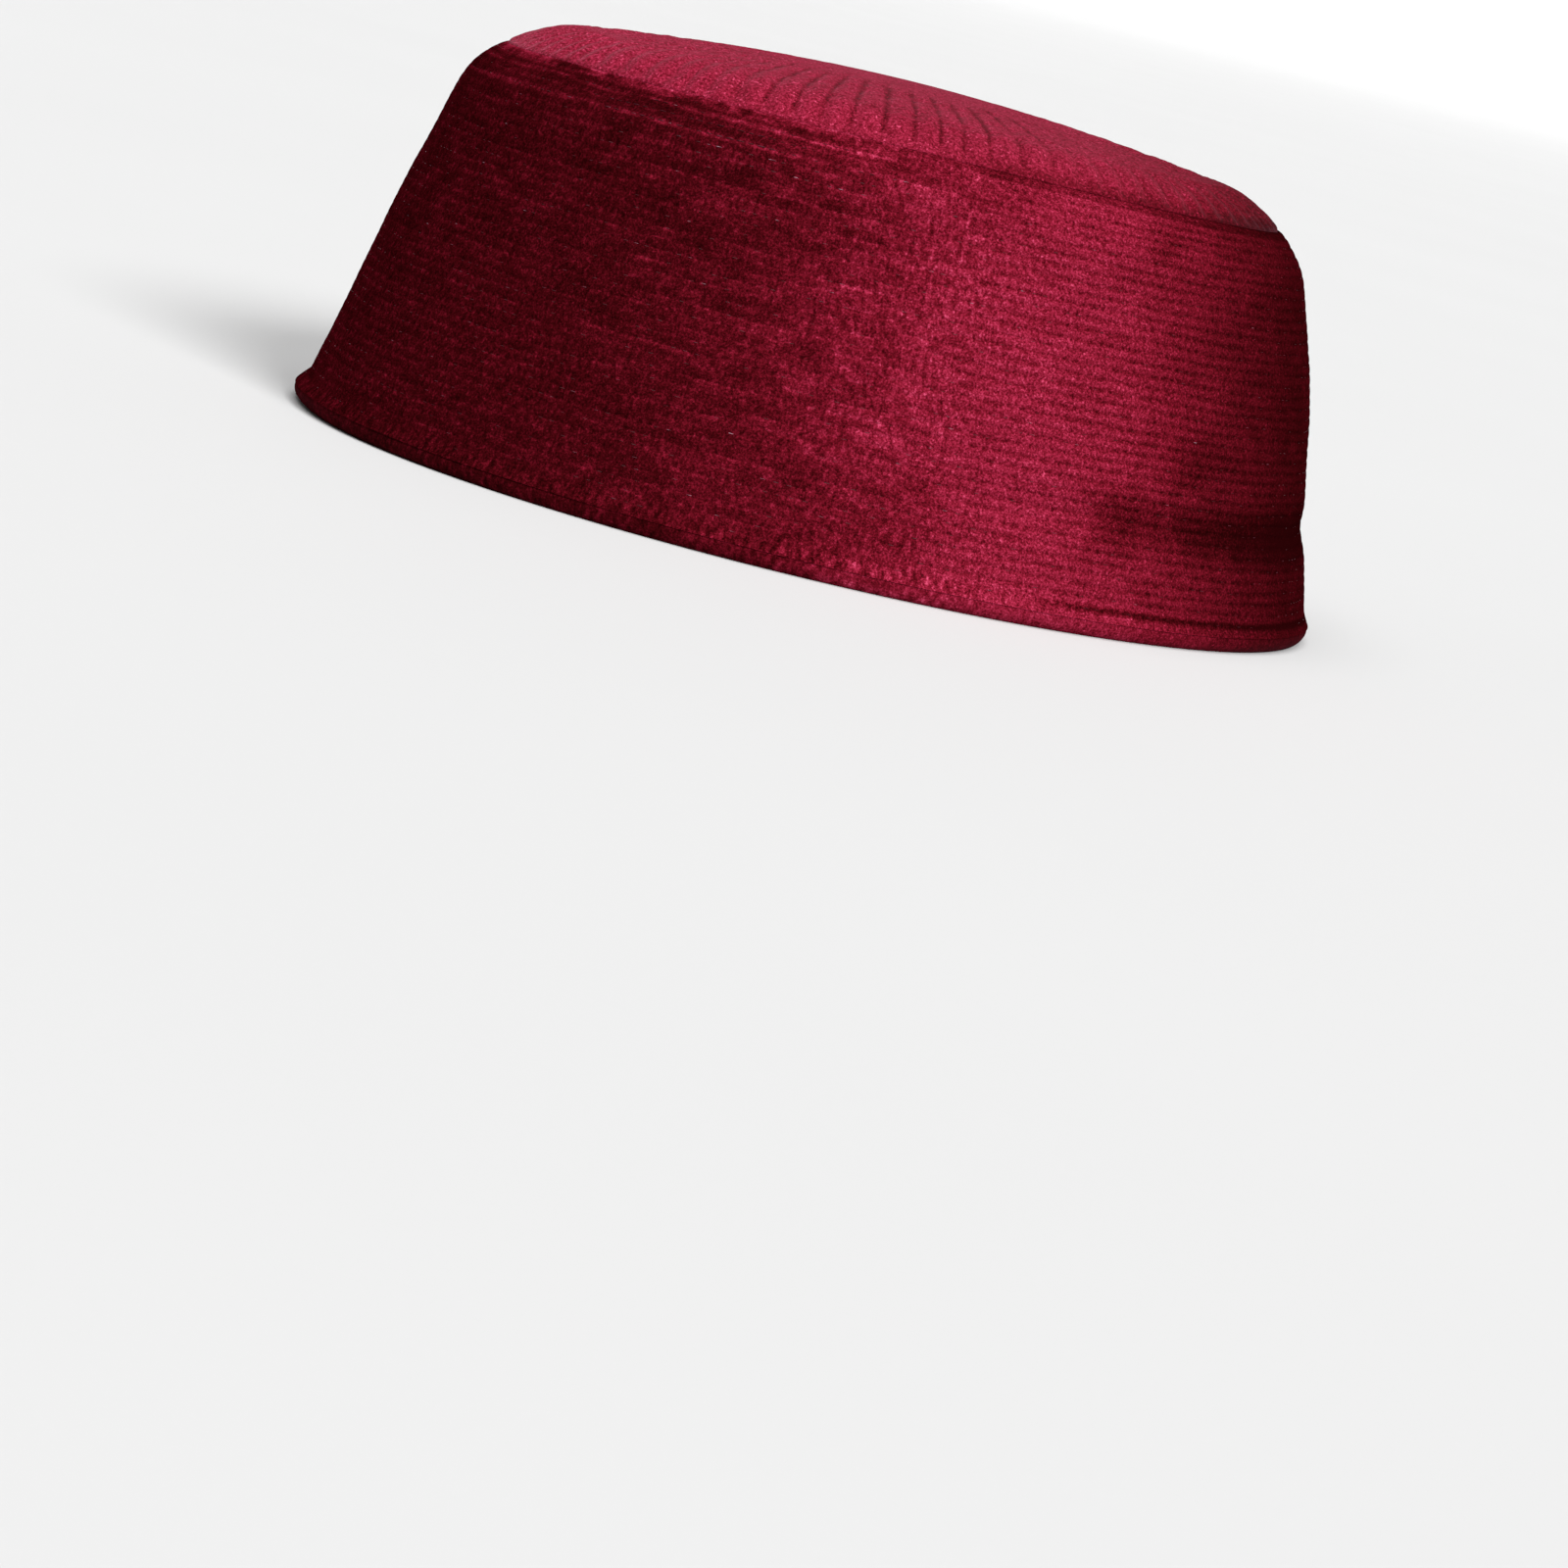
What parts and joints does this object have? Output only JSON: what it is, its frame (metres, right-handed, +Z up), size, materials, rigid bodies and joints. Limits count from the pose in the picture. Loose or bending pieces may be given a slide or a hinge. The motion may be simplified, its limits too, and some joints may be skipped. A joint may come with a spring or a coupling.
{
  "type": "prayer cap",
  "caption": "Brimless oval prayer cap in quilted velvet: leaning side band, shallow domed crown, rolled rim, open hollow for the head.",
  "frame": {"origin": "centre of the cap's outline on the surface that its rim stands on", "axes": "+Z up out of the crown, -X towards the forehead, +X towards the nape, -Y towards the wearer's left ear"},
  "size_m": [0.208, 0.168, 0.0887],
  "materials": {
    "quilted_velvet": "wine red pile velvet, stitched in close rows, with a soft sheen",
    "hem_velvet": "wine red pile velvet rolled into a smooth bead"
  },
  "bodies": {
    "root": {"rolled_rim": "hem_velvet", "side_band": "quilted_velvet", "crown_top": "quilted_velvet"}
  },
  "joints": []
}
